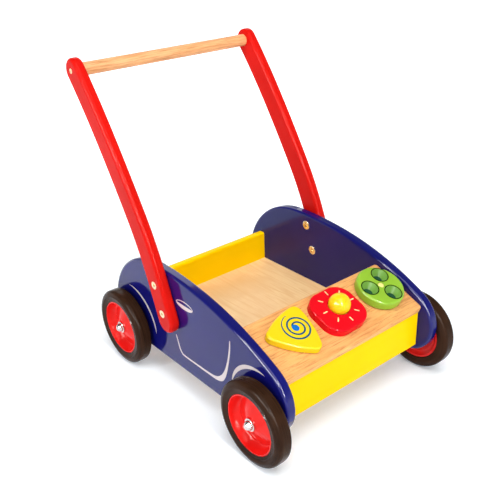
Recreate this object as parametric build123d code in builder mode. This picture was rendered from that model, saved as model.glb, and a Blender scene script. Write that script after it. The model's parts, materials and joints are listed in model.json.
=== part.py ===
from build123d import *

import math
import os

# A push-along wooden baby walker: a cart of painted boards on four wheels, with a
# bent handle at the rear and an activity shelf over its front.
# Millimetres. +Z is up, the front of the cart faces -Y and the child pushes from +Y.
# The origin is on the ground, under the middle of the whole object.

# ---- driving dimensions -------------------------------------------------------------
board = 15.0  # thickness of the side panels and handle arms
inner_half = 126.5  # centre plane to the inner face of a side panel
outer_half = inner_half + board
arm_half = outer_half + board

wheel_radius = 57.5
axle_rear_y = 139.6
axle_front_y = -160.3
axle_radius = 3.0
axle_half = 167.2
running_gap = 0.08  # radial clearance of a turning part on its shaft
hole_slack = 0.05  # radial clearance of a fixed part in its hole

tyre_width = 23.0  # at the shoulders; the sidewalls bulge a little past it
tyre_middle = 155.2  # centre plane to the middle of a tyre
rim_radius = 41.4
hub_inner_face = 143.8
hub_outer_face = 162.7  # face of the boss that the axle cap covers
rim_lip = 165.0
washer_thick = 2.0
washer_radius = 9.0

panel_round = 4.0
panel_bottom = 37.4
arm_width = 34.0
arm_round = 5.0
bar_radius = 9.0
bar_socket = 8.0  # how deep the bar sits in each arm
bar_screw_radius = 2.0
bar_screw_head = 3.6
bar_screw_length = 24.0
bar_screw_cross = (4.2, 0.9, 1.2)  # length, width and depth of each slot of the cross
bar_y = 200.8
bar_z = 428.0
bolt_points = [(42.8, 164.8), (29.2, 125.9)]  # (y, z) of the bolts through each arm
bolt_radius = 3.0
bolt_head_radius = 5.6
bolt_length = 2 * board - 4
hex_socket = (2.0, 3.0)  # radius across the flats, and depth
nut_radius = 4.2  # barrel nut in the side panel
nut_flange_radius = 7.0
nut_flange_thick = 1.6
nut_flange_sunk = 0.8
nut_sleeve = 10.0

cross_board = 12.0  # thickness of the front and rear panels
rear_panel_y = 144.8  # face towards the cargo space
rear_panel_top = 118.5
front_panel_y = -181.2  # outer face
cross_bottom = 51.3
rear_panel_round = 3.0
front_panel_round = 2.5
floor_top = 71.3
floor_thick = 6.0
cleat = 12.0
cleat_short = 8.0  # from an axle's middle to the end of a batten
cleat_chamfer = 1.5
dowel_radius = 3.0
dowel_half = 9.0  # each dowel is half in the side panel, half in the board's end
end_chamfer = 0.8  # at the ends of the dowels and the handle bar

shelf_rear_y = -101.2
shelf_rear_z = 151.4
shelf_front_y = -186.9
shelf_front_z = 115.8
shelf_thick = 11.0
shelf_round = 2.5
shelf_corner = 5.0

tri_screw_radius = 2.5
tri_screw_bite = 7.0
disc_pin_radius = 3.0
tri_x, tri_s = -71.9, 41.0  # pivots on the shelf: across, and down the slope
sun_x, sun_s = 7.0, 39.6
disc_x, disc_s = 87.3, 41.2
spinner_lift = 0.9  # underside of a spinner above the shelf
felt_thick = 0.8
felt_radius = 9.0

tri_height = 11.0
tri_corner_ring = 29.4  # its sweep, with tri_corner, stays clear of the sun plate
tri_corner = 10.0
tri_side_radius = 130.0
tri_turn = 48.0
tri_top_round = 2.8
tri_foot_round = 1.0

disc_radius = 34.0
disc_height = 14.0
disc_top_round = 3.4
disc_foot_round = 1.5
pin_head = 4.3
pin_head_sunk = 2.2
well_ring = 19.0
well_mouth = 11.8
well_floor = 7.5
well_depth = 10.5
well_turn = 50.0

plate_x, plate_s = 4.2, 42.3  # the plate's middle; the sun is a little off it
sun_plate_height = 11.4
sun_plate_size = (71.2, 67.0)
sun_plate_corner = 24.0
sun_plate_turn = 1.5
sun_plate_round = 1.8
ball_radius = 14.8
ball_middle = 15.0
button_travel = 3.0
stem_radius = 12.4
moving_gap = 0.4  # between the button and what it slides through
retainer_thick = 2.0
retainer_overlap = 2.6  # past the stem, so the button can't be pulled out
housing_depth = 20.0  # below the shelf
housing_wall = 2.0
housing_flange_radius = 29.0
housing_radius = 21.0
housing_vent = 2.5
housing_screw_ring = 25.0
housing_screw_radius = 1.5
housing_screw_bite = 7.0

os.makedirs("parts", exist_ok=True)

shelf_tilt = math.atan2(shelf_rear_z - shelf_front_z, shelf_rear_y - shelf_front_y)
shelf_length = math.hypot(shelf_rear_z - shelf_front_z, shelf_rear_y - shelf_front_y)
# Local axes of the shelf's top face: x across, y up the slope, z out of the face.
shelf_plane = Plane(
    origin=(0, shelf_rear_y, shelf_rear_z),
    x_dir=(1, 0, 0),
    z_dir=(0, -math.sin(shelf_tilt), math.cos(shelf_tilt)),
)
shelf_up = Axis((0, 0, 0), shelf_plane.z_dir)


def save(piece, label):
    """Names a finished piece and writes it as its own STEP file."""
    piece.part.label = label
    export_step(piece.part, f"parts/{label}.step")


def shelf_at(x, s, height=0.0):
    """A plane parallel to the shelf's top, at x across and s down the slope."""
    return Plane(
        origin=shelf_plane.from_local_coords((x, -s, height)),
        x_dir=shelf_plane.x_dir,
        z_dir=shelf_plane.z_dir,
    )


def side_plane(x):
    """A plane facing +X whose local x is the object's y and local y is its z."""
    return Plane(origin=(x, 0, 0), x_dir=(0, 1, 0), z_dir=(1, 0, 0))


# Dowel centres (y, z) in the joints between a side panel and each cross board.
rear_dowels = [(rear_panel_y + cross_board / 2, z) for z in (66.0, 104.0)]
front_dowels = [(front_panel_y + cross_board / 2, z) for z in (63.0, 92.0)]
shelf_dowels = []
for s in (20.0, 74.0):
    spot = shelf_plane.from_local_coords((0, -s, -shelf_thick / 2))
    shelf_dowels.append((spot.Y, spot.Z))


def dowels(points, mode):
    """Adds or drills dowels across both side panels' inner faces."""
    for side in (-1, 1):
        with BuildSketch(side_plane(side * inner_half)) as ends:
            with Locations(*points):
                Circle(dowel_radius)
        extrude(ends.sketch, amount=dowel_half, both=True, mode=mode)


# ---- side panels ---------------------------------------------------------------------
nose_start = (-158.2, panel_bottom)
# (y, z) where one tangent arc hands over to the next: nose, bonnet, roof, rear.
arc_ends = [
    (-204.1, 86.0),
    (-176.2, 129.4),
    (-33.2, 176.6),
    (68.8, 183.5),
    (150.7, 149.5),
    (180.9, 97.8),
]


def panel_outline():
    """The side panel's outline: tangent arcs from the nose to the rear, and a flat base."""
    first = TangentArc(nose_start, arc_ends[0], tangent=(-1, 0))
    last = first
    for end in arc_ends[1:]:
        last = TangentArc(last @ 1, end, tangent=last % 1)
    heading = last % 1
    turn = 180 - math.degrees(math.acos(heading.X))
    radius = ((last @ 1).Y - panel_bottom) / (1 + heading.X)
    tail = JernArc(last @ 1, heading, radius, -turn)
    Line(tail @ 1, first @ 0)


for side, label in ((-1, "side_panel_left"), (1, "side_panel_right")):
    inner_face = side * inner_half
    with BuildPart() as side_panel:
        with BuildSketch(side_plane(inner_face)):
            with BuildLine():
                panel_outline()
            make_face()
        extrude(amount=side * board)
        long_edges = side_panel.faces().filter_by(Axis.X).edges()
        fillet(long_edges, radius=panel_round)
        for axle_y in (axle_front_y, axle_rear_y):
            with BuildSketch(side_plane(inner_face)):
                with Locations((axle_y, wheel_radius)):
                    Circle(axle_radius + running_gap)
            extrude(amount=side * board, mode=Mode.SUBTRACT)
        with BuildSketch(side_plane(inner_face)):
            with Locations(*bolt_points):
                Circle(nut_radius)
        extrude(amount=side * board, mode=Mode.SUBTRACT)
        with BuildSketch(side_plane(inner_face)):
            with Locations(*bolt_points):
                Circle(nut_flange_radius)
        extrude(amount=side * nut_flange_sunk, mode=Mode.SUBTRACT)
        dowels(rear_dowels + front_dowels + shelf_dowels, Mode.SUBTRACT)
    save(side_panel, label)

# ---- cross boards --------------------------------------------------------------------
with BuildPart() as rear_panel:
    with BuildSketch(side_plane(-inner_half)):
        with Locations((rear_panel_y + cross_board / 2, (rear_panel_top + cross_bottom) / 2)):
            Rectangle(cross_board, rear_panel_top - cross_bottom)
    extrude(amount=2 * inner_half)
    fillet(rear_panel.edges().filter_by(Axis.X), radius=rear_panel_round)
    dowels(rear_dowels, Mode.SUBTRACT)
save(rear_panel, "rear_panel")

# The front panel's top is cut to the slope of the shelf that lies on it.
under_front_y = shelf_front_y + shelf_thick * math.sin(shelf_tilt)
under_front_z = shelf_front_z - shelf_thick * math.cos(shelf_tilt)
front_panel_back = front_panel_y + cross_board


def under_shelf(y):
    """Height of the shelf's underside at y."""
    return under_front_z + (y - under_front_y) * math.tan(shelf_tilt)


with BuildPart() as front_panel:
    with BuildSketch(side_plane(-inner_half)):
        Polygon(
            (front_panel_y, cross_bottom),
            (front_panel_back, cross_bottom),
            (front_panel_back, under_shelf(front_panel_back)),
            (front_panel_y, under_shelf(front_panel_y)),
            align=None,
        )
    extrude(amount=2 * inner_half)
    lower_edges = front_panel.edges().filter_by(Axis.X).group_by(Axis.Z)[0]
    front_corners = front_panel.edges().filter_by(Axis.Z).group_by(Axis.Y)[0]
    fillet(lower_edges + front_corners, radius=front_panel_round)
    dowels(front_dowels, Mode.SUBTRACT)
save(front_panel, "front_panel")

with BuildPart() as floor_panel:
    with BuildSketch(Plane.XY.offset(floor_top - floor_thick)):
        with Locations((0, (front_panel_back + rear_panel_y) / 2)):
            Rectangle(2 * inner_half, rear_panel_y - front_panel_back)
    extrude(amount=floor_thick)
save(floor_panel, "floor_panel")

# Two battens under the floor, short of both axles.
cleat_front = axle_front_y + cleat_short
cleat_rear = axle_rear_y - cleat_short
with BuildPart() as floor_cleats:
    with BuildSketch(Plane.XY.offset(floor_top - floor_thick - cleat)):
        for side in (-1, 1):
            with Locations((side * (inner_half - cleat / 2), (cleat_front + cleat_rear) / 2)):
                Rectangle(cleat, cleat_rear - cleat_front)
    extrude(amount=cleat)
    chamfer(floor_cleats.edges().filter_by(Axis.Y).group_by(Axis.Z)[0], length=cleat_chamfer)
save(floor_cleats, "floor_cleats")

# ---- activity shelf ------------------------------------------------------------------
with BuildPart() as activity_shelf:
    with BuildSketch(shelf_plane):
        with Locations((0, -shelf_length / 2)):
            RectangleRounded(2 * inner_half, shelf_length, shelf_corner)
    extrude(amount=-shelf_thick)
    shelf_faces = activity_shelf.faces().sort_by(shelf_up)
    fillet(shelf_faces[0].edges() + shelf_faces[-1].edges(), radius=shelf_round)
    with BuildSketch(shelf_plane):
        with Locations((tri_x, -tri_s)):
            Circle(tri_screw_radius + running_gap)
        with Locations((sun_x, -sun_s)):
            Circle(stem_radius + moving_gap)
        with Locations((disc_x, -disc_s)):
            Circle(disc_pin_radius)
    extrude(amount=-shelf_thick, mode=Mode.SUBTRACT)
    with BuildSketch(shelf_at(sun_x, sun_s, -shelf_thick)):
        with Locations((-housing_screw_ring, 0), (housing_screw_ring, 0)):
            Circle(housing_screw_radius)
    extrude(amount=housing_screw_bite, mode=Mode.SUBTRACT)
    dowels(shelf_dowels, Mode.SUBTRACT)
save(activity_shelf, "activity_shelf")

with BuildPart() as assembly_dowels:
    dowels(rear_dowels + front_dowels + shelf_dowels, Mode.ADD)
    chamfer(assembly_dowels.edges().filter_by(GeomType.CIRCLE), length=end_chamfer)
save(assembly_dowels, "assembly_dowels")

# ---- handle --------------------------------------------------------------------------
# Middle line of an arm, (y, z): straight past the bolts, then bending back to the bar.
arm_foot = (25.4, 115.0)
arm_bends = [(82.1, 250.0), (144.3, 350.0), (bar_y, bar_z)]

# Each knot is a point of the middle line and its direction there.
with BuildLine(mode=Mode.PRIVATE):
    reach = Line(arm_foot, bolt_points[0])
    arm_knots = [(reach @ 0, reach % 0), (reach @ 1, reach % 1)]
    for bend in arm_bends:
        reach = TangentArc(reach @ 1, bend, tangent=reach % 1)
        arm_knots.append((reach @ 1, reach % 1))


def beside(knot, side):
    """The point of an arm's edge beside a knot, on its front (-1) or rear (1) side."""
    point, along = knot
    return point + Vector(along.Y, -along.X) * (side * arm_width / 2)


def arm_outline():
    """Both edges of an arm parallel to its middle line, with a round end at each end."""
    foot, top = arm_knots[0], arm_knots[-1]
    edge = Line(beside(foot, 1), beside(arm_knots[1], 1))
    for knot in arm_knots[2:]:
        edge = TangentArc(edge @ 1, beside(knot, 1), tangent=edge % 1)
    ThreePointArc(edge @ 1, top[0] + top[1] * (arm_width / 2), beside(top, -1))
    back = [beside(knot, -1) for knot in reversed(arm_knots)]
    start, way = back[0], top[1] * -1
    for point in back[1:-1]:
        edge = TangentArc(start, point, tangent=way)
        start, way = edge @ 1, edge % 1
    Line(start, back[-1])
    ThreePointArc(back[-1], foot[0] - foot[1] * (arm_width / 2), beside(foot, 1))


for side, label in ((-1, "handle_arm_left"), (1, "handle_arm_right")):
    inner_face = side * outer_half
    outer_face = side * arm_half
    with BuildPart() as handle_arm:
        with BuildSketch(side_plane(inner_face)):
            with BuildLine():
                arm_outline()
            make_face()
        extrude(amount=side * board)
        fillet(handle_arm.faces().filter_by(Axis.X).edges(), radius=arm_round)
        with BuildSketch(side_plane(inner_face)):
            with Locations((bar_y, bar_z)):
                Circle(bar_radius)
        extrude(amount=side * bar_socket, mode=Mode.SUBTRACT)
        outward = Plane(origin=(outer_face, 0, 0), x_dir=(0, side, 0), z_dir=(side, 0, 0))
        with Locations(outward):
            with Locations((side * bar_y, bar_z)):
                CounterSinkHole(bar_screw_radius, bar_screw_head, depth=board)
            with Locations(*[(side * y, z) for y, z in bolt_points]):
                CounterSinkHole(bolt_radius, bolt_head_radius, depth=board)
    save(handle_arm, label)

with BuildPart() as handle_bar:
    with BuildSketch(Plane.YZ.offset(-outer_half - bar_socket)):
        with Locations((bar_y, bar_z)):
            Circle(bar_radius - hole_slack)
    extrude(amount=2 * (outer_half + bar_socket))
    chamfer(handle_bar.edges().filter_by(GeomType.CIRCLE), length=end_chamfer)
    for side in (-1, 1):
        with BuildSketch(side_plane(side * (outer_half + bar_socket))):
            with Locations((bar_y, bar_z)):
                Circle(bar_screw_radius)
        extrude(amount=-side * bar_screw_length, mode=Mode.SUBTRACT)
save(handle_bar, "handle_bar")


def turned(outline, plane):
    """A solid of revolution about the plane's normal, from (radius, height) points."""
    with BuildPart(mode=Mode.PRIVATE) as blank:
        with BuildSketch(Plane.XZ):
            Polygon(*outline, align=None)
        revolve(axis=Axis.Z)
    return blank.part.moved(plane.location)


def sunk_screw_outline(hole, sink, length):
    """Profile of a countersunk screw, flush with height 0, that fits the hole with slack."""
    shank = hole - hole_slack
    head = sink - hole_slack
    cone = (head - shank) / math.tan(math.radians(41))
    return [(0, 0), (head, 0), (shank, -cone), (shank, -length), (0, -length)]


with BuildPart() as handle_bar_screws:
    for side in (-1, 1):
        seat = Plane(origin=(side * arm_half, bar_y, bar_z), z_dir=(side, 0, 0))
        profile = sunk_screw_outline(bar_screw_radius, bar_screw_head, bar_screw_length)
        add(turned(profile, seat))
        slot_length, slot_width, slot_depth = bar_screw_cross
        with BuildSketch(seat):
            for turn in (0, 90):
                Rectangle(slot_length, slot_width, rotation=turn)
        extrude(amount=-slot_depth, mode=Mode.SUBTRACT)
save(handle_bar_screws, "handle_bar_screws")

with BuildPart() as arm_bolts:
    for side in (-1, 1):
        for bolt_y, bolt_z in bolt_points:
            seat = Plane(origin=(side * arm_half, bolt_y, bolt_z), z_dir=(side, 0, 0))
            profile = sunk_screw_outline(bolt_radius, bolt_head_radius, bolt_length)
            add(turned(profile, seat))
            with BuildSketch(seat):
                RegularPolygon(hex_socket[0], 6, major_radius=False)
            extrude(amount=-hex_socket[1], mode=Mode.SUBTRACT)
save(arm_bolts, "arm_bolts")

with BuildPart() as barrel_nuts:
    for side in (-1, 1):
        for bolt_y, bolt_z in bolt_points:
            seat = Plane(
                origin=(side * (inner_half + nut_flange_sunk), bolt_y, bolt_z),
                z_dir=(-side, 0, 0),
            )
            flange_top = nut_flange_thick
            flange = nut_flange_radius - hole_slack
            sleeve = nut_radius - hole_slack
            profile = [
                (bolt_radius, flange_top),
                (flange - 1.2, flange_top),
                (flange, flange_top - 0.6),
                (flange, 0),
                (sleeve, 0),
                (sleeve, -nut_sleeve),
                (bolt_radius, -nut_sleeve),
            ]
            add(turned(profile, seat))
save(barrel_nuts, "barrel_nuts")

# ---- axles, caps and washers -----------------------------------------------------------
for label, axle_y in (("axle_front", axle_front_y), ("axle_rear", axle_rear_y)):
    with BuildPart() as axle:
        with BuildSketch(Plane.YZ.offset(-axle_half)):
            with Locations((axle_y, wheel_radius)):
                Circle(axle_radius)
        extrude(amount=2 * axle_half)
        chamfer(axle.edges().filter_by(GeomType.CIRCLE), length=0.5)
    save(axle, label)

cap_flange = 8.6
cap_dome = 6.6
cap_height = 8.0
cap_wall = 0.9
cap_gap = 0.3  # between a cap's flange and the hub's boss
dome_foot = 1.2
dome_rise = cap_height - dome_foot


def dome_point(degrees):
    """A point (radius, height) of a cap's elliptical dome, from its foot (0) to its top (90)."""
    angle = math.radians(degrees)
    return (cap_dome * math.cos(angle), dome_foot + dome_rise * math.sin(angle))


with BuildPart() as axle_caps:
    for side in (-1, 1):
        for axle_y in (axle_front_y, axle_rear_y):
            seat = Plane(
                origin=(side * (hub_outer_face + cap_gap), axle_y, wheel_radius),
                z_dir=(side, 0, 0),
            )
            bore_end = axle_half - hub_outer_face
            profile = [(0, bore_end), (axle_radius, bore_end), (axle_radius, 0), (cap_flange, 0)]
            profile += [(cap_flange, cap_wall), (cap_dome + 0.4, dome_foot)]
            profile += [dome_point(degrees) for degrees in range(0, 90, 15)]
            profile += [(0, cap_height)]
            add(turned(profile, seat))
save(axle_caps, "axle_caps")

with BuildPart() as wheel_washers:
    for side in (-1, 1):
        with BuildSketch(side_plane(side * outer_half)):
            for axle_y in (axle_front_y, axle_rear_y):
                with Locations((axle_y, wheel_radius)):
                    Circle(washer_radius)
                    Circle(axle_radius + hole_slack, mode=Mode.SUBTRACT)
        extrude(amount=side * washer_thick)
save(wheel_washers, "wheel_washers")

# ---- wheels --------------------------------------------------------------------------
# Profiles are (radius from the axle, distance from the cart's centre plane).
tyre_in = tyre_middle - tyre_width / 2
tyre_out = tyre_middle + tyre_width / 2
tread_half = 4.2  # half the flat middle of the tread
shoulder_foot = wheel_radius - 7.4  # where a shoulder has turned into the sidewall
shoulder_inset = 2.15  # of the shoulder's middle, from the tread and from the sidewall
bead_radius = rim_radius - 0.6  # the tyre laps over the edge of the hub's lip
hub_bore = axle_radius + running_gap
hub_in = tyre_in + 1.8  # inner edge of the hub's rim
bead_foot = rim_lip - 1.8  # under the lip, where the tyre's bead sits
bead_top = rim_lip - 1.4
web = 3.2
dish_floor = rim_lip - 13.0
dish_foot = 34.6  # radius at the bottom of the dish's wall
wall_lean = (2.2, 5.5)  # how far out the wall has come, and how high, part way up
wall_bend = (0.2, 1.2)  # the same where it curves into the floor, but inward
cone_start = dish_foot - 2.6  # the floor rises from here to the boss as a shallow cone
cone_end = hub_outer_face - 1.4
boss_radius = 10.0
boss_top_radius = 9.0
back_boss_radius = 11.0

for end, axle_y in (("front", axle_front_y), ("rear", axle_rear_y)):
    for side, hand in ((-1, "left"), (1, "right")):
        wheel_plane = Plane(origin=(0, axle_y, wheel_radius), x_dir=(0, 1, 0), z_dir=(side, 0, 0))
        with BuildPart(mode=Mode.PRIVATE) as tyre_blank:
            with BuildSketch(Plane.XZ):
                with BuildLine():
                    tread = Line(
                        (wheel_radius, tyre_middle - tread_half),
                        (wheel_radius, tyre_middle + tread_half),
                    )
                    outer = Spline(
                        tread @ 1,
                        (wheel_radius - shoulder_inset, tyre_out - shoulder_inset),
                        (shoulder_foot, tyre_out),
                        (bead_radius, rim_lip + 0.2),
                        tangents=[(0, 1), (-1, -0.18)],
                    )
                    bead = Polyline(
                        outer @ 1,
                        (bead_radius, bead_top),
                        (rim_radius, bead_foot),
                        (rim_radius, hub_in),
                        (rim_radius + 1.0, tyre_in + 0.6),
                    )
                    Spline(
                        bead @ 1,
                        (shoulder_foot, tyre_in),
                        (wheel_radius - shoulder_inset, tyre_in + shoulder_inset),
                        tread @ 0,
                        tangents=[(1, -0.1), (0, 1)],
                    )
                make_face()
            revolve(axis=Axis.Z)
        with BuildPart() as tyre:
            add(tyre_blank.part.moved(wheel_plane.location))
        save(tyre, f"tyre_{end}_{hand}")

        with BuildPart(mode=Mode.PRIVATE) as hub_blank:
            with BuildSketch(Plane.XZ):
                with BuildLine():
                    lip = Polyline(
                        (rim_radius, hub_in),
                        (rim_radius, bead_foot),
                        (rim_radius - 1.0, bead_top),
                        (rim_radius - 1.0, rim_lip - 0.4),
                        (rim_radius - 1.6, rim_lip),
                        (rim_radius - 2.6, rim_lip),
                    )
                    dish = Spline(
                        lip @ 1,
                        (dish_foot + wall_lean[0], dish_floor + wall_lean[1]),
                        (dish_foot - wall_bend[0], dish_floor + wall_bend[1]),
                        (cone_start, dish_floor),
                        tangents=[(-0.1, -1), (-1, 0.2)],
                    )
                    Polyline(
                        dish @ 1,
                        (boss_radius, cone_end),
                        (boss_top_radius, hub_outer_face),
                        (hub_bore, hub_outer_face),
                        (hub_bore, hub_inner_face),
                        (back_boss_radius, hub_inner_face),
                        (back_boss_radius + 1.0, cone_end - web),
                        (cone_start, dish_floor - web),
                        (dish_foot, dish_floor - web),
                        (rim_radius - 4.0, hub_in + 1.0),
                        (rim_radius - 3.0, hub_in),
                        lip @ 0,
                    )
                make_face()
            revolve(axis=Axis.Z)
        with BuildPart() as hub:
            add(hub_blank.part.moved(wheel_plane.location))
        save(hub, f"hub_{end}_{hand}")

# ---- sun button ----------------------------------------------------------------------
# From here on, heights are above the shelf's top face.
under = -shelf_thick
sun_plane = shelf_at(sun_x, sun_s)

# The plate's hole clears the ball where it crosses the plate's top, button pressed.
pressed_middle = ball_middle - button_travel
ball_at_plate = math.sqrt(ball_radius**2 - (pressed_middle - sun_plate_height) ** 2)
plate_hole_radius = ball_at_plate + moving_gap
with BuildPart() as sun_plate:
    with BuildSketch(shelf_at(plate_x, plate_s)):
        RectangleRounded(*sun_plate_size, sun_plate_corner, rotation=sun_plate_turn)
    extrude(amount=sun_plate_height)
    fillet(sun_plate.faces().sort_by(shelf_up)[-1].edges(), radius=sun_plate_round)
    with BuildSketch(sun_plane):
        Circle(plate_hole_radius)
    extrude(amount=sun_plate_height, mode=Mode.SUBTRACT)
save(sun_plate, "sun_plate")

stem_top = ball_middle - math.sqrt(ball_radius**2 - stem_radius**2)
stem_foot = under - 0.3
with BuildPart(mode=Mode.PRIVATE) as button_blank:
    with BuildSketch(Plane.XZ):
        with BuildLine():
            ball = ThreePointArc(
                (0, ball_middle + ball_radius), (ball_radius, ball_middle), (stem_radius, stem_top)
            )
            Polyline(ball @ 1, (stem_radius, stem_foot), (0, stem_foot), ball @ 0)
        make_face()
    revolve(axis=Axis.Z)
with BuildPart() as sun_button:
    add(button_blank.part.moved(sun_plane.location))
save(sun_button, "sun_button")

retainer_foot = stem_foot - retainer_thick
with BuildPart() as button_retainer:
    with BuildSketch(shelf_at(sun_x, sun_s, retainer_foot)):
        Circle(stem_radius + retainer_overlap)
    extrude(amount=retainer_thick)
    chamfer(button_retainer.edges(), length=0.4)
save(button_retainer, "button_retainer")

housing_floor = under - housing_depth + housing_wall
bellows_top = retainer_foot
fold_count = 3
fold_height = (bellows_top - housing_floor) / fold_count
bellows_outer = [(10.5, bellows_top)]
for fold in range(fold_count):
    crest = bellows_top - (fold + 0.5) * fold_height
    bellows_outer.append((12.6, crest))
    bellows_outer.append((10.5, crest - fold_height / 2))
wall = 1.3
bellows_inner = [(r - wall, h) for r, h in reversed(bellows_outer)]
bellows_inner[0] = (4.0, housing_floor)
bellows_inner[-1] = (bellows_outer[0][0] - wall, bellows_top - wall)
with BuildPart() as squeaker_bellows:
    closed_top = [(0, bellows_top - wall), (0, bellows_top)]
    foot = [(4.0, housing_floor + wall), (bellows_outer[-1][0] - wall, housing_floor + wall)]
    profile = closed_top + bellows_outer + [bellows_inner[0]] + foot + bellows_inner[1:]
    add(turned(profile, sun_plane))
save(squeaker_bellows, "squeaker_bellows")

housing_foot = under - housing_depth
with BuildPart() as squeaker_housing:
    profile = [
        (housing_radius - housing_wall, under),
        (housing_flange_radius, under),
        (housing_flange_radius, under - housing_wall),
        (housing_radius + 0.5, under - housing_wall),
        (housing_radius, under - housing_wall - 0.5),
        (housing_radius, housing_foot + 1.5),
        (housing_radius - 1.5, housing_foot),
        (housing_vent, housing_foot),
        (housing_vent, housing_floor),
        (housing_radius - housing_wall, housing_floor),
    ]
    add(turned(profile, sun_plane))
    with BuildSketch(shelf_at(sun_x, sun_s, under)):
        with Locations((-housing_screw_ring, 0), (housing_screw_ring, 0)):
            Circle(housing_screw_radius + 0.2)
    extrude(amount=-housing_wall, mode=Mode.SUBTRACT)
save(squeaker_housing, "squeaker_housing")

with BuildPart() as housing_screws:
    for side in (-1, 1):
        seat = shelf_at(sun_x + side * housing_screw_ring, sun_s, under - housing_wall)
        shank = housing_screw_radius - hole_slack
        tip = housing_wall + housing_screw_bite - 0.5
        head = [(0, -1.7), (1.8, -1.7), (2.9, -1.0), (2.9, 0)]
        profile = head + [(shank, 0), (shank, tip - 1.5), (0, tip)]
        add(turned(profile, seat))
save(housing_screws, "housing_screws")

# ---- triangle spinner ------------------------------------------------------------------
tri_plane = shelf_at(tri_x, tri_s, spinner_lift)
tri_thick = tri_height - spinner_lift


def polar(radius, degrees):
    """The point at a radius and an angle, in a sketch's plane."""
    angle = math.radians(degrees)
    return Vector(radius * math.cos(angle), radius * math.sin(angle))


# Each bowed side is an arc whose centre lies centre_back behind the pivot.
side_centre_reach = tri_side_radius - tri_corner
chord_middle = tri_corner_ring * math.cos(math.radians(60))
half_chord = tri_corner_ring * math.sin(math.radians(60))
centre_back = math.sqrt(side_centre_reach**2 - half_chord**2) - chord_middle
with BuildPart() as triangle_spinner:
    with BuildSketch(tri_plane):
        with BuildLine():
            for corner in range(3):
                here = tri_turn + 120 * corner
                corner_centre = polar(tri_corner_ring, here)
                side_centre = polar(centre_back, here + 60 + 180)
                last_centre = polar(centre_back, here - 60 + 180)
                next_corner = polar(tri_corner_ring, here + 120)
                leave = side_centre + (corner_centre - side_centre).normalized() * tri_side_radius
                arrive = side_centre + (next_corner - side_centre).normalized() * tri_side_radius
                enter = last_centre + (corner_centre - last_centre).normalized() * tri_side_radius
                belly = polar(tri_side_radius - centre_back, here + 60)
                ThreePointArc(enter, polar(tri_corner_ring + tri_corner, here), leave)
                ThreePointArc(leave, belly, arrive)
        make_face()
    extrude(amount=tri_thick)
    fillet(triangle_spinner.faces().sort_by(shelf_up)[-1].edges(), radius=tri_top_round)
    fillet(triangle_spinner.faces().sort_by(shelf_up)[0].edges(), radius=tri_foot_round)
    with BuildSketch(tri_plane):
        Circle(tri_screw_radius)
    extrude(amount=tri_screw_bite, mode=Mode.SUBTRACT)
save(triangle_spinner, "triangle_spinner")

pivot_washer_thick = 1.2
screw_seat = under - pivot_washer_thick - 0.2
with BuildPart() as triangle_pivot_screw:
    profile = [
        (0, screw_seat - 2.8),
        (3.4, screw_seat - 2.6),
        (5.0, screw_seat - 1.2),
        (5.0, screw_seat),
        (tri_screw_radius, screw_seat),
        (tri_screw_radius, spinner_lift + tri_screw_bite - 0.3),
        (0, spinner_lift + tri_screw_bite - 0.3),
    ]
    add(turned(profile, shelf_at(tri_x, tri_s)))
save(triangle_pivot_screw, "triangle_pivot_screw")

with BuildPart() as pivot_washer:
    with BuildSketch(shelf_at(tri_x, tri_s, under)):
        Circle(7.0)
        Circle(tri_screw_radius + moving_gap, mode=Mode.SUBTRACT)
    extrude(amount=-pivot_washer_thick)
save(pivot_washer, "pivot_washer")

with BuildPart() as felt_washers:
    for x, s in ((tri_x, tri_s), (disc_x, disc_s)):
        with BuildSketch(shelf_at(x, s)):
            Circle(felt_radius)
            Circle(disc_pin_radius + moving_gap, mode=Mode.SUBTRACT)
        extrude(amount=felt_thick)
save(felt_washers, "felt_washers")

# ---- finger disc -----------------------------------------------------------------------
with BuildPart() as well_disc:
    with BuildSketch(shelf_at(disc_x, disc_s, spinner_lift)):
        Circle(disc_radius)
    extrude(amount=disc_height - spinner_lift)
    fillet(well_disc.faces().sort_by(shelf_up)[-1].edges(), radius=disc_top_round)
    fillet(well_disc.faces().sort_by(shelf_up)[0].edges(), radius=disc_foot_round)
    for well in range(3):
        spot = polar(well_ring, well_turn + 120 * well)
        middle_height = disc_height - well_depth / 2
        with Locations(shelf_at(disc_x + spot.X, disc_s - spot.Y, middle_height)):
            Cone(well_floor, well_mouth, well_depth, mode=Mode.SUBTRACT)
    with BuildSketch(shelf_at(disc_x, disc_s, disc_height)):
        Circle(pin_head + moving_gap)
    extrude(amount=-pin_head_sunk, mode=Mode.SUBTRACT)
    with BuildSketch(shelf_at(disc_x, disc_s, disc_height)):
        Circle(disc_pin_radius + running_gap)
    extrude(amount=-disc_height, mode=Mode.SUBTRACT)
save(well_disc, "well_disc")

with BuildPart() as disc_pivot_pin:
    head_foot = disc_height - pin_head_sunk + moving_gap
    profile = [
        (0, disc_height + 0.9),
        (2.4, disc_height + 0.6),
        (3.7, disc_height),
        (pin_head, head_foot + 0.8),
        (pin_head, head_foot),
        (disc_pin_radius, head_foot),
        (disc_pin_radius, under),
        (0, under),
    ]
    add(turned(profile, shelf_at(disc_x, disc_s)))
save(disc_pivot_pin, "disc_pivot_pin")
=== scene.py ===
import json
import math

import bmesh
import bpy
from mathutils import Matrix, Vector


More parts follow.
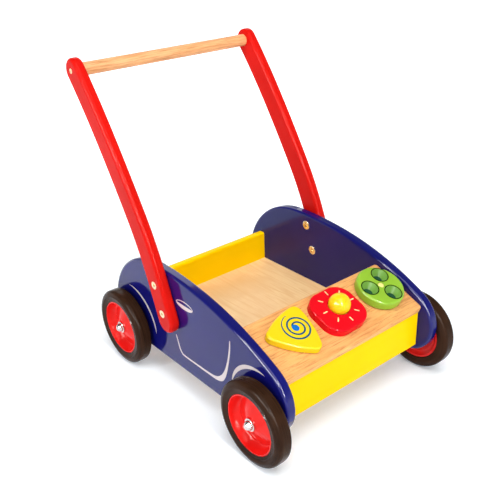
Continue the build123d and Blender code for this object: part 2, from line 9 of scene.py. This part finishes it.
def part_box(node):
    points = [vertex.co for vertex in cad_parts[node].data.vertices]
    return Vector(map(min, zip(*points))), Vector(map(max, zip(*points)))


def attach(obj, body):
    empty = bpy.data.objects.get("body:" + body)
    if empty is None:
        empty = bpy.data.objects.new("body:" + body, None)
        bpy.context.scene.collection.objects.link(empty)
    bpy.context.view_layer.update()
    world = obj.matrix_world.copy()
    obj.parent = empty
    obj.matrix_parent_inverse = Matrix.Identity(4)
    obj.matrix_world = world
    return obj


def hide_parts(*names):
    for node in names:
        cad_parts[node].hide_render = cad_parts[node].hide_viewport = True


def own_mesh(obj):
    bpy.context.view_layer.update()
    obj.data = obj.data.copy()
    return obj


# The looks of a wooden push-along walker: painted boards, varnished wood, rubber tyres,
# and the painted lines and spinners of its activity shelf. Metres, in the frame's axes.

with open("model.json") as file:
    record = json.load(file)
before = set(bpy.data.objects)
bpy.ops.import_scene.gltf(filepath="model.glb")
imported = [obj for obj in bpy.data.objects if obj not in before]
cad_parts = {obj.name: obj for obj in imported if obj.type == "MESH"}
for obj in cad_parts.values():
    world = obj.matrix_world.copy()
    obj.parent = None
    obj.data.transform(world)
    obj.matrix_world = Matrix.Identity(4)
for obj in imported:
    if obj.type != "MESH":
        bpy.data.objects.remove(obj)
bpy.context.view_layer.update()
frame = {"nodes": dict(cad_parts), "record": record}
nodes = frame["nodes"]
joints = {joint["name"]: joint for joint in frame["record"]["behaviour"]["joints"]}

MM = 0.001
paint_film = 0.12 * MM  # how far painted lines stand above the board
scene = bpy.context.scene


# ---- shader helpers ----------------------------------------------------------------
class Shader:
    """A material with its Principled shader, and short ways to wire nodes to it."""

    def __init__(self, name):
        self.material = bpy.data.materials.new(name)
        self.material.use_nodes = True
        self.tree = self.material.node_tree
        self.bsdf = self.tree.nodes["Principled BSDF"]
        self.place = self.add("ShaderNodeTexCoord").outputs["Object"]

    def add(self, kind, **values):
        node = self.tree.nodes.new(kind)
        for name, value in values.items():
            setattr(node, name, value)
        return node

    def link(self, source, target):
        self.tree.links.new(source, target)

    def stretch(self, scale):
        """Object coordinates scaled along each axis."""
        mapping = self.add("ShaderNodeMapping")
        mapping.inputs["Scale"].default_value = scale
        self.link(self.place, mapping.inputs["Vector"])
        return mapping.outputs["Vector"]

    def noise(self, scale, detail=4.0, vector=None, distortion=0.0, roughness=0.5):
        node = self.add("ShaderNodeTexNoise")
        node.inputs["Scale"].default_value = scale
        node.inputs["Detail"].default_value = detail
        node.inputs["Roughness"].default_value = roughness
        node.inputs["Distortion"].default_value = distortion
        self.link(vector or self.place, node.inputs["Vector"])
        return node.outputs["Fac"]

    def ramp(self, factor, *stops):
        """Colours or greys, (position, colour), picked by a factor."""
        node = self.add("ShaderNodeValToRGB")
        while len(node.color_ramp.elements) < len(stops):
            node.color_ramp.elements.new(0.5)
        for element, (position, colour) in zip(node.color_ramp.elements, stops):
            element.position = position
            element.color = (*colour, 1)
        self.link(factor, node.inputs["Fac"])
        return node.outputs["Color"]

    def mix(self, factor, first, second):
        node = self.add("ShaderNodeMix", data_type="RGBA")
        if isinstance(factor, float):
            node.inputs["Factor"].default_value = factor
        else:
            self.link(factor, node.inputs["Factor"])
        first_colour, second_colour, mixed_colour = node.inputs[6], node.inputs[7], node.outputs[2]
        for socket, value in ((first_colour, first), (second_colour, second)):
            if isinstance(value, tuple):
                socket.default_value = (*value, 1)
            else:
                self.link(value, socket)
        return mixed_colour

    def rough(self, factor, low, high):
        node = self.add("ShaderNodeMapRange")
        node.inputs["To Min"].default_value = low
        node.inputs["To Max"].default_value = high
        self.link(factor, node.inputs["Value"])
        self.link(node.outputs["Result"], self.bsdf.inputs["Roughness"])

    def bump(self, height, distance, strength=1.0):
        node = self.add("ShaderNodeBump")
        node.inputs["Distance"].default_value = distance
        node.inputs["Strength"].default_value = strength
        self.link(height, node.inputs["Height"])
        self.link(node.outputs["Normal"], self.bsdf.inputs["Normal"])

    def set(self, **values):
        """Values that are the same all over."""
        sockets = {
            "metal": "Metallic",
            "specular": "Specular IOR Level",
            "sheen": "Sheen Weight",
            "glow": "Emission Strength",
            "tint": "Specular Tint",
        }
        for name, value in values.items():
            self.bsdf.inputs[sockets[name]].default_value = value

    def base(self, colour):
        self.link(colour, self.bsdf.inputs["Base Color"])


# ---- materials ---------------------------------------------------------------------
def gloss_paint(name, colour, shade, specular, rough=(0.14, 0.22), grain=(25, 160, 25)):
    """Sprayed paint on board: orange peel, faint grain telegraphing, slight fading."""
    m = Shader(name)
    patches = m.noise(9, 2)
    m.base(m.ramp(patches, (0.3, shade), (0.7, colour)))
    peel = m.noise(420, 2)
    wood = m.noise(1.0, 3, m.stretch(grain))
    m.rough(m.noise(60, 3), *rough)
    m.bump(m.mix(0.45, peel, wood), 0.00004, 0.35)
    m.set(specular=specular)
    return m.material


def wood(name, light, dark, vein, scale, cloud=0.35, streak=0.7):
    """Varnished wood. scale is smallest along the grain; veins and pores run that way."""
    m = Shader(name)
    vector = m.stretch(scale)
    broad = m.noise(1.0, 4, vector, distortion=0.9)
    fine = m.noise(3.6, 6, vector, distortion=0.4, roughness=0.7)
    pores = m.noise(9, 4, vector, roughness=0.75)
    clouds = m.ramp(m.noise(14, 3, distortion=0.5), (0.4, (0, 0, 0)), (0.7, (1, 1, 1)))
    colour = m.ramp(broad, (0.28, dark), (0.5, light), (0.72, dark))
    colour = m.mix(m.mix(cloud, (0, 0, 0), clouds), colour, dark)
    streaks = m.ramp(fine, (0.47, (0, 0, 0)), (0.64, (1, 1, 1)))
    colour = m.mix(m.mix(streak, (0, 0, 0), streaks), colour, vein)
    specks = m.ramp(pores, (0.6, (0, 0, 0)), (0.7, (1, 1, 1)))
    m.base(m.mix(m.mix(streak / 2, (0, 0, 0), specks), colour, vein))
    m.rough(fine, 0.32, 0.5)
    m.bump(m.mix(0.5, fine, pores), 0.0001, 0.3)
    m.set(specular=0.3, tint=(1, 0.85, 0.7, 1))
    return m.material


def rubber(name):
    """Moulded rubber: nearly black brown, satin, scuffed in fine streaks round the tread."""
    m = Shader(name)
    scuff = m.ramp(m.noise(38, 5), (0.5, (0, 0, 0)), (0.78, (1, 1, 1)))
    streaks = m.noise(1.0, 4, m.stretch((700, 9, 9)), roughness=0.6)
    worn = m.mix(m.ramp(streaks, (0.45, (0, 0, 0)), (0.65, (1, 1, 1))), (0.5,) * 3, scuff)
    m.base(m.mix(worn, (0.017, 0.0065, 0.0028), (0.050, 0.022, 0.011)))
    m.rough(streaks, 0.16, 0.34)
    m.bump(m.mix(0.6, m.noise(500, 3), streaks), 0.00008, 0.5)
    m.set(specular=0.05)
    return m.material


def moulded(name, colour, shade, rough=(0.14, 0.26), tint=(1, 1, 1)):
    """Injection moulded plastic with faint flow marks."""
    m = Shader(name)
    m.base(m.ramp(m.noise(22, 2, distortion=1.2), (0.3, shade), (0.7, colour)))
    m.rough(m.noise(90, 3), *rough)
    m.bump(m.noise(260, 2), 0.00004, 0.35)
    m.set(specular=0.3, tint=(*tint, 1))
    return m.material


def metal(name, colour, tarnish, rough):
    m = Shader(name)
    m.base(m.ramp(m.noise(150, 4), (0.35, tarnish), (0.65, colour)))
    m.rough(m.noise(600, 3), *rough)
    m.bump(m.noise(1500, 2), 0.00001, 0.4)
    m.set(metal=1.0)
    return m.material


def felt(name):
    m = Shader(name)
    m.base(m.ramp(m.noise(900, 4), (0.3, (0.05, 0.05, 0.055)), (0.7, (0.13, 0.13, 0.14))))
    m.rough(m.noise(500, 3), 0.85, 1.0)
    m.bump(m.noise(1800, 3), 0.0003, 0.8)
    m.set(sheen=0.4)
    return m.material


# Grain direction is the axis with the smallest scale.
along_x = (9, 120, 120)
along_y = (120, 9, 120)
navy = gloss_paint(
    "navy_gloss",
    (0.0045, 0.0055, 0.125),
    (0.0035, 0.0042, 0.102),
    specular=0.31,
    rough=(0.06, 0.10),
    grain=(160, 25, 160),
)
red = gloss_paint(
    "red_gloss",
    (0.60, 0.008, 0.005),
    (0.54, 0.007, 0.004),
    specular=0.04,
    rough=(0.08, 0.13),
    grain=(160, 160, 25),
)
plate_red = gloss_paint("plate_red", (0.70, 0.005, 0.013), (0.65, 0.004, 0.010), 0.08, (0.06, 0.1))
yellow = gloss_paint("yellow_gloss", (0.98, 0.60, 0.0), (0.94, 0.56, 0.0), 0.03, (0.2, 0.3))
bright_yellow = gloss_paint(
    "bright_yellow", (0.83, 0.57, 0.010), (0.79, 0.53, 0.007), 0.2, (0.1, 0.16)
)
green = gloss_paint("green_gloss", (0.265, 0.48, 0.036), (0.23, 0.42, 0.026), 0.26, (0.12, 0.2))
# The wells' walls: the disc's green darkened, painted shade in the hollows.
well_shade_green = gloss_paint("well_shade_green", (0.16, 0.34, 0.05), (0.13, 0.29, 0.045), 0.1, (0.2, 0.3))
dark_green = gloss_paint("dark_green_line", (0.006, 0.034, 0.003), (0.005, 0.026, 0.003), 0.1)
# The wells' bottoms: a darker green still, painted shade at the foot of the hollows.
shade_green = gloss_paint("well_bottom_shade", (0.022, 0.085, 0.045), (0.016, 0.065, 0.036), 0.1)
lavender = gloss_paint("lavender_line", (0.66, 0.58, 0.57), (0.60, 0.52, 0.52), 0.35)
cream = gloss_paint("cream_line", (0.93, 0.68, 0.33), (0.88, 0.62, 0.29), 0.3)
spiral_blue = gloss_paint("spiral_blue", (0.012, 0.095, 0.155), (0.010, 0.08, 0.135), 0.2)
dot_blue = gloss_paint("dot_blue", (0.006, 0.15, 0.52), (0.006, 0.125, 0.46), 0.2)
shelf_wood = wood("shelf_wood", (0.82, 0.43, 0.15), (0.74, 0.33, 0.10), (0.46, 0.15, 0.04), along_x)
floor_wood = wood(
    "floor_ply", (0.90, 0.63, 0.32), (0.80, 0.49, 0.22), (0.76, 0.46, 0.21), along_y, 0.9, 0.3
)
bar_wood = wood("bar_wood", (0.80, 0.43, 0.20), (0.68, 0.31, 0.12), (0.40, 0.15, 0.045), (6, 130, 130))
batten_wood = wood("batten_wood", (0.80, 0.52, 0.26), (0.72, 0.43, 0.2), (0.5, 0.27, 0.11), along_y)
tyre = rubber("tyre_rubber")
bellows = rubber("bellows_rubber")
hub_red = moulded("hub_red", (0.80, 0.013, 0.010), (0.73, 0.010, 0.008), tint=(1, 0.5, 0.45))
white = moulded("white_plastic", (0.75, 0.75, 0.72), (0.68, 0.68, 0.65), (0.35, 0.5))
chrome = metal("chrome", (0.64, 0.61, 0.58), (0.50, 0.47, 0.45), (0.05, 0.14))
steel = metal("zinc_steel", (0.56, 0.57, 0.58), (0.42, 0.43, 0.44), (0.26, 0.42))
nickel = metal("pale_brass", (0.86, 0.70, 0.46), (0.70, 0.54, 0.33), (0.18, 0.34))
pin_paint = gloss_paint("pin_paint", (0.80, 0.76, 0.24), (0.74, 0.68, 0.19), 0.3)
grey_felt = felt("grey_felt")

wheels = [f"{end}_{hand}" for end in ("front", "rear") for hand in ("left", "right")]
finishes = {
    navy: ["side_panel_left", "side_panel_right"],
    red: ["handle_arm_left", "handle_arm_right"],
    plate_red: ["sun_plate"],
    yellow: ["front_panel", "rear_panel"],
    bright_yellow: ["triangle_spinner", "sun_button"],
    green: ["well_disc"],
    pin_paint: ["disc_pivot_pin"],
    shelf_wood: ["activity_shelf"],
    floor_wood: ["floor_panel"],
    bar_wood: ["handle_bar"],
    batten_wood: ["floor_cleats", "assembly_dowels"],
    tyre: [f"tyre_{wheel}" for wheel in wheels],
    hub_red: [f"hub_{wheel}" for wheel in wheels],
    chrome: ["axle_caps"],
    nickel: ["arm_bolts", "barrel_nuts", "handle_bar_screws"],
    steel: [
        "axle_front",
        "axle_rear",
        "wheel_washers",
        "housing_screws",
        "triangle_pivot_screw",
        "pivot_washer",
    ],
    white: ["squeaker_housing", "button_retainer"],
    bellows: ["squeaker_bellows"],
    grey_felt: ["felt_washers"],
}
for material, names in finishes.items():
    for name in names:
        mesh = nodes[name].data
        mesh.materials.clear()
        mesh.materials.append(material)
unpainted = sorted(set(nodes) - {name for names in finishes.values() for name in names})
assert not unpainted, f"no finish for {unpainted}"


# ---- painted lines -----------------------------------------------------------------
def add_piece(name, mesh, material, body):
    mesh.materials.append(material)
    piece = bpy.data.objects.new(name, mesh)
    scene.collection.objects.link(piece)
    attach(piece, body)
    return piece


def close_mesh(shape, name):
    bmesh.ops.recalc_face_normals(shape, faces=shape.faces)
    mesh = bpy.data.meshes.new(name)
    shape.to_mesh(mesh)
    shape.free()
    return mesh


def slab(name, outlines, to_world, material, body):
    """Thin closed slabs from flat outlines. to_world maps (a, b, height) to a place.

    An outline is a list of (a, b) round a disc, or (left, right, closed): the two edges of
    a stroke, whose ends meet if it is closed."""
    shape = bmesh.new()
    for outline in outlines:
        if isinstance(outline, tuple):
            left, right, closed = outline
            rows = [
                [shape.verts.new(to_world(a, b, h)) for a, b in edge]
                for edge, h in ((left, 0), (left, paint_film), (right, paint_film), (right, 0))
            ]
            count = len(left)
            for low, high in zip(rows, rows[1:] + rows[:1]):
                for i in range(count if closed else count - 1):
                    j = (i + 1) % count
                    shape.faces.new((low[i], low[j], high[j], high[i]))
            if not closed:
                for end in (0, -1):
                    shape.faces.new([row[end] for row in rows])
        else:
            foot = [shape.verts.new(to_world(a, b, 0)) for a, b in outline]
            top = [shape.verts.new(to_world(a, b, paint_film)) for a, b in outline]
            shape.faces.new(foot[::-1])
            shape.faces.new(top)
            for i in range(len(outline)):
                j = (i + 1) % len(outline)
                shape.faces.new((foot[i], foot[j], top[j], top[i]))
    return add_piece(name, close_mesh(shape, name), material, body)


def lathe(name, profiles, to_world, material, body, steps=48):
    """Closed rings turned from ((a, b), [(radius, height), ...]) profiles."""
    shape = bmesh.new()
    for (a, b), profile in profiles:
        rows = []
        for i in range(steps):
            c, s = math.cos(2 * math.pi * i / steps), math.sin(2 * math.pi * i / steps)
            rows.append([shape.verts.new(to_world(a + r * c, b + r * s, h)) for r, h in profile])
        for row, after in zip(rows, rows[1:] + rows[:1]):
            for k in range(len(profile)):
                m = (k + 1) % len(profile)
                shape.faces.new((row[k], row[m], after[m], after[k]))
    mesh = close_mesh(shape, name)
    mesh.polygons.foreach_set("use_smooth", [True] * len(mesh.polygons))
    return add_piece(name, mesh, material, body)


def smooth_path(points, steps=10):
    """A Catmull-Rom line through points that each hold (a, b, width)."""
    points = [Vector(point) for point in points]
    ends = [2 * points[0] - points[1]] + points + [2 * points[-1] - points[-2]]
    path = []
    for before, start, end, after in zip(ends, ends[1:], ends[2:], ends[3:]):
        for step in range(steps):
            t = step / steps
            path.append(
                0.5
                * (
                    2 * start
                    + (end - before) * t
                    + (2 * before - 5 * start + 4 * end - after) * t * t
                    + (3 * start - before - 3 * end + after) * t**3
                )
            )
    return path + [points[-1]]


def stroke(path):
    """The two edges of a brush stroke along (a, b, width) points."""
    left, right = [], []
    for i, point in enumerate(path):
        ahead = path[min(i + 1, len(path) - 1)] - path[max(i - 1, 0)]
        beside = Vector((-ahead.y, ahead.x)).normalized() * (max(point.z, 0.08 * MM) / 2)
        left.append((point.x + beside.x, point.y + beside.y))
        right.append((point.x - beside.x, point.y - beside.y))
    return left, right, False


def arc_stroke(middle, radius, start, end, widths, steps=30):
    """A stroke along a circle, from one angle to another. widths(0..1) gives its width."""
    path = []
    for i in range(steps + 1):
        t = i / steps
        angle = math.radians(start + (end - start) * t)
        width = widths(t)
        reach = radius + width / 2
        path.append(
            Vector((middle[0] + reach * math.cos(angle), middle[1] + reach * math.sin(angle), width))
        )
    return stroke(path)


def ellipse(middle, half_a, half_b, steps=40):
    points = []
    for i in range(steps):
        angle = 2 * math.pi * i / steps
        points.append((middle[0] + half_a * math.cos(angle), middle[1] + half_b * math.sin(angle)))
    return points


def panel_lines(hand, side):
    """The car drawn on a side panel's outer face: mudguards, a door and its handle."""
    low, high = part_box(f"side_panel_{hand}")
    face_x = low.x if side < 0 else high.x
    front = joints[f"front_{hand}_roll"]["pos_m"]
    rear = joints[f"rear_{hand}_roll"]["pos_m"]

    def on_panel(y, z, height):
        return (face_x + side * height, y, z)

    rear_guard = arc_stroke(
        rear[1:],
        radius=65.0 * MM,
        start=172,
        end=90,
        widths=lambda t: 3.9 * MM * math.sin(math.pi * t**0.8) ** 0.75,
    )
    front_guard = arc_stroke(
        front[1:],
        radius=63.1 * MM,
        start=20,
        end=94,
        widths=lambda t: 5.6 * MM * math.sin(math.pi * t**0.9) ** 0.8,
    )
    door = stroke(
        smooth_path(
            [
                (0.0219, 0.0906, 1.4 * MM),
                (0.0188, 0.0822, 2.2 * MM),
                (0.0150, 0.0712, 2.5 * MM),
                (0.0108, 0.0658, 2.4 * MM),
                (0.0045, 0.0638, 2.3 * MM),
                (-0.0225, 0.0638, 2.6 * MM),
                (-0.0537, 0.0643, 3.6 * MM),
                (-0.0678, 0.0658, 5.4 * MM),
                (-0.0772, 0.0700, 7.6 * MM),
                (-0.0834, 0.0770, 6.6 * MM),
                (-0.0885, 0.0870, 4.8 * MM),
                (-0.0928, 0.0995, 3.4 * MM),
                (-0.0968, 0.1150, 2.6 * MM),
                (-0.0990, 0.1275, 2.1 * MM),
                (-0.1000, 0.1384, 1.2 * MM),
            ]
        )
    )
    lever = (-4.4 * MM, 147.2 * MM)
    ring = (ellipse(lever, 18.8 * MM, 6.2 * MM), ellipse(lever, 17.3 * MM, 4.9 * MM), True)
    pull = [(y, z) for y, z in ellipse(lever, 17.2 * MM, 4.8 * MM, steps=48) if z <= lever[1]]
    slab(
        f"panel_lines_{hand}",
        [rear_guard, front_guard, door, ring, pull],
        on_panel,
        lavender,
        "cart",
    )


for hand, side in (("left", -1), ("right", 1)):
    panel_lines(hand, side)

# ---- activity shelf ----------------------------------------------------------------
shelf_normal = Vector(joints["triangle_spin"]["axis"]).normalized()
up_slope = Vector((1, 0, 0)).cross(shelf_normal) * -1


def over(pivot):
    """Maps (across, up the slope, height above the pivot's plane) to a place."""
    origin = Vector(pivot)
    return lambda a, b, h: origin + Vector((1, 0, 0)) * a + up_slope * b + shelf_normal * h


def top_of(node, pivot):
    """How high a node reaches above a pivot, square to the shelf."""
    origin = Vector(pivot)
    return max((vertex.co - origin).dot(shelf_normal) for vertex in nodes[node].data.vertices)


def lifted(place, height):
    return lambda a, b, h: place(a, b, h + height)


triangle_at = joints["triangle_spin"]["pos_m"]
on_triangle = lifted(over(triangle_at), top_of("triangle_spinner", triangle_at))
spiral_middle = Vector((4.8 * MM, 1.1 * MM))
spiral_start = 5.7 * MM
spiral_pitch = 6.85 * MM
spiral_turns = 2.24
spiral_width = 2.6 * MM
spiral_steps = 180
dot_middle = (2.1 * MM, 1.2 * MM)
spiral = []
for i in range(spiral_steps + 1):
    t = i / spiral_steps
    angle = math.pi - 2 * math.pi * spiral_turns * t
    radius = spiral_start + spiral_pitch * spiral_turns * t
    spot = spiral_middle + radius * Vector((math.cos(angle), math.sin(angle)))
    taper = min(1, 6 * (1 - t) + 0.3)  # the brush lifts off at the outer end
    spiral.append(Vector((*spot, spiral_width * taper)))
slab("triangle_spiral", [stroke(spiral)], on_triangle, spiral_blue, "triangle")
dot = [ellipse(dot_middle, 4.9 * MM, 5.2 * MM)]
slab("spiral_dot", dot, lifted(on_triangle, 0.5 * paint_film), dot_blue, "triangle")

# The rays stand round the button's own axis.
button_vertices = [vertex.co for vertex in nodes["sun_button"].data.vertices]
tip = max(button_vertices, key=lambda co: co.dot(shelf_normal))
shelf_origin = Vector(triangle_at)
sun_at = tip - shelf_normal * (tip - shelf_origin).dot(shelf_normal)
on_plate = lifted(over(sun_at), top_of("sun_plate", sun_at))
ray_count = 8
ray_ring = 24.4 * MM
ray_length = 7.2 * MM
ray_widths = ((0, 0.9), (0.1, 1.6), (0.5, 1.9), (0.9, 1.6), (1, 0.9))  # along it, in mm
rays = []
for k in range(ray_count):
    angle = 2 * math.pi * k / ray_count
    path = []
    for t, width in ray_widths:
        radius = ray_ring + ray_length * (t - 0.5)
        path.append(Vector((radius * math.cos(angle), radius * math.sin(angle), width * MM)))
    rays.append(stroke(path))
slab("sun_rays", rays, on_plate, cream, "cart")

disc_at = joints["disc_spin"]["pos_m"]
on_disc = lifted(over(disc_at), top_of("well_disc", disc_at))
well_count = 3
first_well = 50  # degrees
well_ring = 19 * MM
well_mouth, well_floor, well_depth = 11.8 * MM, 7.5 * MM, 10.5 * MM
line_outer, line_inner = 13.0 * MM, 11.5 * MM
bottom_radius = well_floor - 0.6 * MM
slant = math.hypot(well_mouth - well_floor, well_depth)
inward = paint_film * slant / well_depth  # the paint's thickness, measured level
middle_hole = 0.02 * MM  # keeps the turned skin open at its axis
rim_radius = well_mouth - 0.3 * MM  # the skin stops just inside the mouth
rim_height = -0.35 * MM
back_height = 0.01 * MM - well_depth
paint_height = paint_film - well_depth
well_skin = [
    (middle_hole, back_height),
    (well_floor, back_height),
    (rim_radius, rim_height),
    (rim_radius - inward, rim_height),
    (well_floor - inward, paint_height),
    (middle_hole, paint_height),
]
rings = []
liners = []
bottoms = []
for k in range(well_count):
    angle = math.radians(first_well + 360 * k / well_count)
    middle = (well_ring * math.cos(angle), well_ring * math.sin(angle))
    line = [ellipse(middle, radius, radius) for radius in (line_outer, line_inner)]
    rings.append((*line, True))
    bottoms.append(ellipse(middle, bottom_radius, bottom_radius))
    liners.append((middle, well_skin))
slab("well_rings", rings, on_disc, dark_green, "finger_disc")
# Liners on the wells' walls, darker than the disc: painted shade in the hollows.
lathe("well_shade_liners", liners, on_disc, well_shade_green, "finger_disc")
on_bottom = lifted(on_disc, -well_depth + paint_film)
# Dark green discs on the wells' bottoms: painted shade.
slab("well_shade_bottoms", bottoms, on_bottom, shade_green, "finger_disc")

# The squeaker's bellows folds as the button goes down; a copy of it with its own mesh stands in its
# place, and the part itself is hidden.
bellows_mesh = nodes["squeaker_bellows"].data.copy()
bellows_mesh.materials.clear()
soft_bellows = add_piece("soft_bellows", bellows_mesh, bellows, "cart")
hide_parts("squeaker_bellows")
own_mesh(soft_bellows)

# ---- stage, light and camera ---------------------------------------------------------
# The floor glows faintly near the cart and strongly away from it, as a lit backdrop does.
stage_material = Shader("stage")
floor_tones = ((0, (0.90, 0.93, 0.96)), (1, (0.92, 0.95, 0.98)))
stage_material.base(stage_material.ramp(stage_material.noise(2), *floor_tones))
stage_material.rough(stage_material.noise(5), 0.75, 0.85)
stage_material.set(specular=0.1)
distance = stage_material.add("ShaderNodeVectorMath", operation="LENGTH")
stage_material.link(stage_material.place, distance.inputs[0])
glow = stage_material.ramp(
    distance.outputs["Value"],
    (0, (0.14, 0.18, 0.225)),
    (0.4, (0.2, 0.21, 0.22)),
    (1, (1, 1, 1)),
)
stage_material.link(glow, stage_material.bsdf.inputs["Emission Color"])
stage_material.set(glow=0.9)
bpy.ops.mesh.primitive_plane_add(size=14, location=(0, 0, 0))
floor = bpy.context.object
floor.name = "stage_floor"
floor.data.materials.append(stage_material.material)

# A studio that is white round the horizon and dim overhead.
world = bpy.data.worlds.new("studio")
world.use_nodes = True
sky = world.node_tree
direction = sky.nodes.new("ShaderNodeTexCoord")
height = sky.nodes.new("ShaderNodeSeparateXYZ")
shade = sky.nodes.new("ShaderNodeValToRGB")
sky.links.new(direction.outputs["Generated"], height.inputs["Vector"])
sky.links.new(height.outputs["Z"], shade.inputs["Fac"])
sky_greys = ((0, 1), (0.1, 0.95), (0.4, 0.3), (1, 0.2))  # height, grey
while len(shade.color_ramp.elements) < len(sky_greys):
    shade.color_ramp.elements.new(0.5)
for element, (position, grey) in zip(shade.color_ramp.elements, sky_greys):
    element.position = position
    element.color = (grey, grey, grey, 1)
sky.links.new(shade.outputs["Color"], sky.nodes["Background"].inputs["Color"])
sky.nodes["Background"].inputs["Strength"].default_value = 1.0
scene.world = world


def softbox(name, place, size, power, shine_only=False):
    data = bpy.data.lights.new(name, "AREA")
    data.shape = "RECTANGLE"
    data.size, data.size_y = size
    data.energy = power
    light = bpy.data.objects.new(name, data)
    light.location = place
    aim = Vector((0, 0, 0.12)) - Vector(place)
    light.rotation_euler = aim.to_track_quat("-Z", "Y").to_euler()
    light.visible_diffuse = not shine_only
    scene.collection.objects.link(light)


softbox("top_light", (-0.3, -0.75, 2.0), (1.3, 1.3), 28)
softbox("left_strip", (-1.5, 0.1, 1.4), (0.1, 1.5), 14)
softbox("front_strip", (-0.3, -1.8, 1.35), (0.1, 1.6), 16)
softbox("rear_light", (0.9, 1.6, 1.3), (1.3, 0.9), 8)
# Bright strips that only show as highlights along the rounded edges.
softbox("left_shine", (-1.5, -0.35, 0.9), (1.7, 0.25), 80, shine_only=True)
softbox("front_shine", (-0.6, -1.8, 1.2), (0.2, 1.6), 90, shine_only=True)

camera_data = bpy.data.cameras.new("camera")
camera_data.sensor_width = 36
camera_data.lens = 51.49
camera = bpy.data.objects.new("camera", camera_data)
scene.collection.objects.link(camera)
camera_place = Vector((-0.58531, -0.69493, 0.62549))
camera_aim = Vector((0.0, 0.0281, 0.1722))
camera_roll = math.radians(-2.17)
facing = (camera_aim - camera_place).to_track_quat("-Z", "Y").to_matrix().to_4x4()
camera.matrix_world = (
    Matrix.Translation(camera_place) @ facing @ Matrix.Rotation(camera_roll, 4, "Z")
)
scene.camera = camera
scene.view_settings.view_transform = "Standard"
